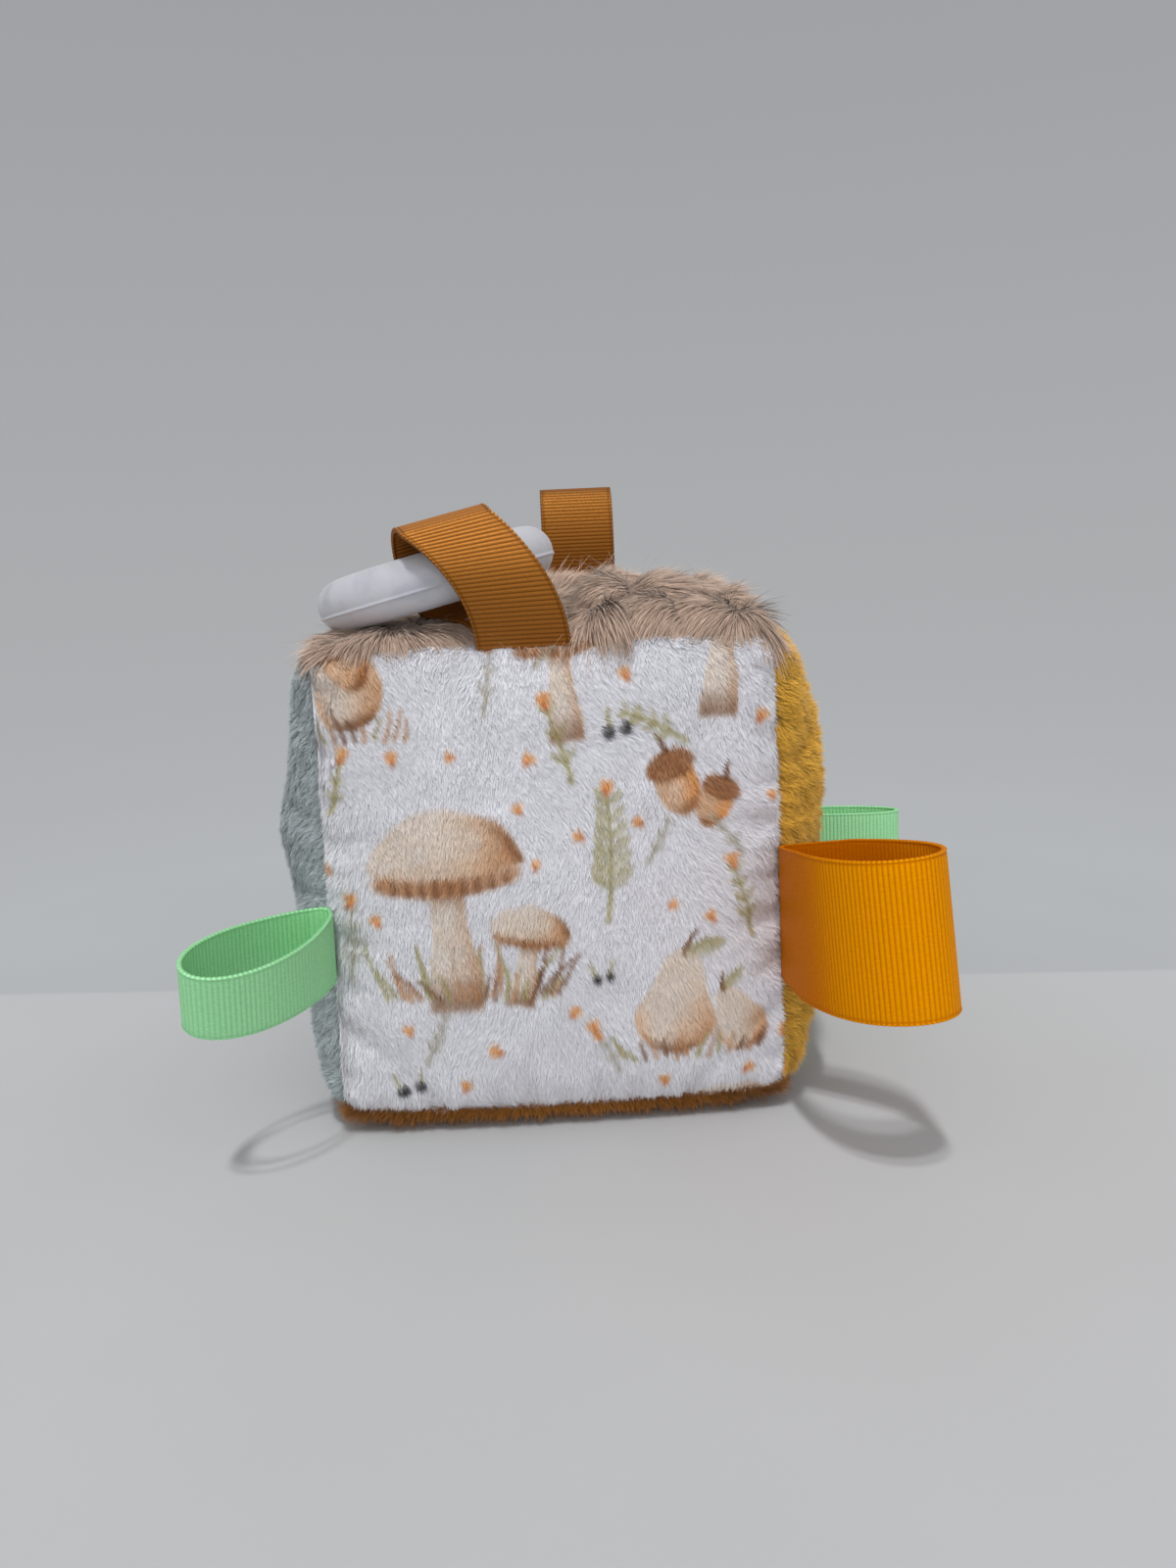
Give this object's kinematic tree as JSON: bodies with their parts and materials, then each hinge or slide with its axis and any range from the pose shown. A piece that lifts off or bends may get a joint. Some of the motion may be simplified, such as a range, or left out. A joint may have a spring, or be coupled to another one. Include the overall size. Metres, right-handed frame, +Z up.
{
  "type": "soft activity block",
  "caption": "Plush baby block: fabric panels sewn round soft filling, ribbon loops caught in the seams, and a silicone teething ring held by one loop.",
  "frame": {"origin": "middle of the pressed flat underside of the block, where it stands", "axes": "+Z up, -Y towards the printed front panel, +X to that panel's right as seen from the front"},
  "size_m": [0.1761, 0.1535, 0.145],
  "materials": {
    "white_plush": null,
    "grey_green_plush": "short grey-green plush",
    "mustard_plush": "short mustard plush",
    "taupe_fur": "long taupe pile lying in tufts",
    "brown_plush": "short caramel brown plush",
    "filling": "white polyester fibre filling, not seen",
    "brown_ribbon": "brown grosgrain ribbon with cross ribs",
    "mint_ribbon": "mint grosgrain ribbon with cross ribs",
    "orange_ribbon": "amber orange grosgrain ribbon with cross ribs",
    "silicone": "satin white silicone with faint grey marbling"
  },
  "bodies": {
    "block": {"front_panel": "white_plush", "left_panel": "grey_green_plush", "right_panel": "mustard_plush", "top_panel": "taupe_fur", "bottom_panel": "brown_plush", "rear_panel": "white_plush", "stuffing": "filling"},
    "ring_ribbon": {"ring_loop": "brown_ribbon"},
    "ring": {"teething_ring": "silicone"},
    "top_ribbon": {"rear_top_loop": "brown_ribbon"},
    "left_ribbon": {"left_loop": "mint_ribbon"},
    "right_ribbon": {"right_loop": "orange_ribbon"},
    "rear_ribbon": {"rear_right_loop": "mint_ribbon"}
  },
  "joints": [
    {"name": "ring_ribbon_fold", "type": "hinge", "parent": "block", "child": "ring_ribbon", "pos_m": [-0.004, -0.04965, 0.10622], "axis": [1, 0, 0], "range_deg": [0, 95]},
    {"name": "ring_swing", "type": "hinge", "parent": "ring_ribbon", "child": "ring", "pos_m": [-0.01789, -0.04477, 0.12291], "axis": [0.9392, 0.2588, 0.2255], "range_deg": [0, 115]},
    {"name": "top_ribbon_fold", "type": "hinge", "parent": "block", "child": "top_ribbon", "pos_m": [0.012, 0.04965, 0.10622], "axis": [1, 0, 0], "range_deg": [-90, 12], "stiffness_Nm_per_rad": 0.003},
    {"name": "left_ribbon_fold", "type": "hinge", "parent": "block", "child": "left_ribbon", "pos_m": [-0.04965, -0.04965, 0.045], "axis": [0, 0, 1], "range_deg": [-26, 32], "stiffness_Nm_per_rad": 0.003},
    {"name": "right_ribbon_fold", "type": "hinge", "parent": "block", "child": "right_ribbon", "pos_m": [0.04965, -0.04965, 0.0462], "axis": [0, 0, 1], "range_deg": [-32, 65], "stiffness_Nm_per_rad": 0.003},
    {"name": "rear_ribbon_fold", "type": "hinge", "parent": "block", "child": "rear_ribbon", "pos_m": [0.04965, 0.04965, 0.0427], "axis": [0, 0, 1], "range_deg": [0, 105], "stiffness_Nm_per_rad": 0.003}
  ]
}
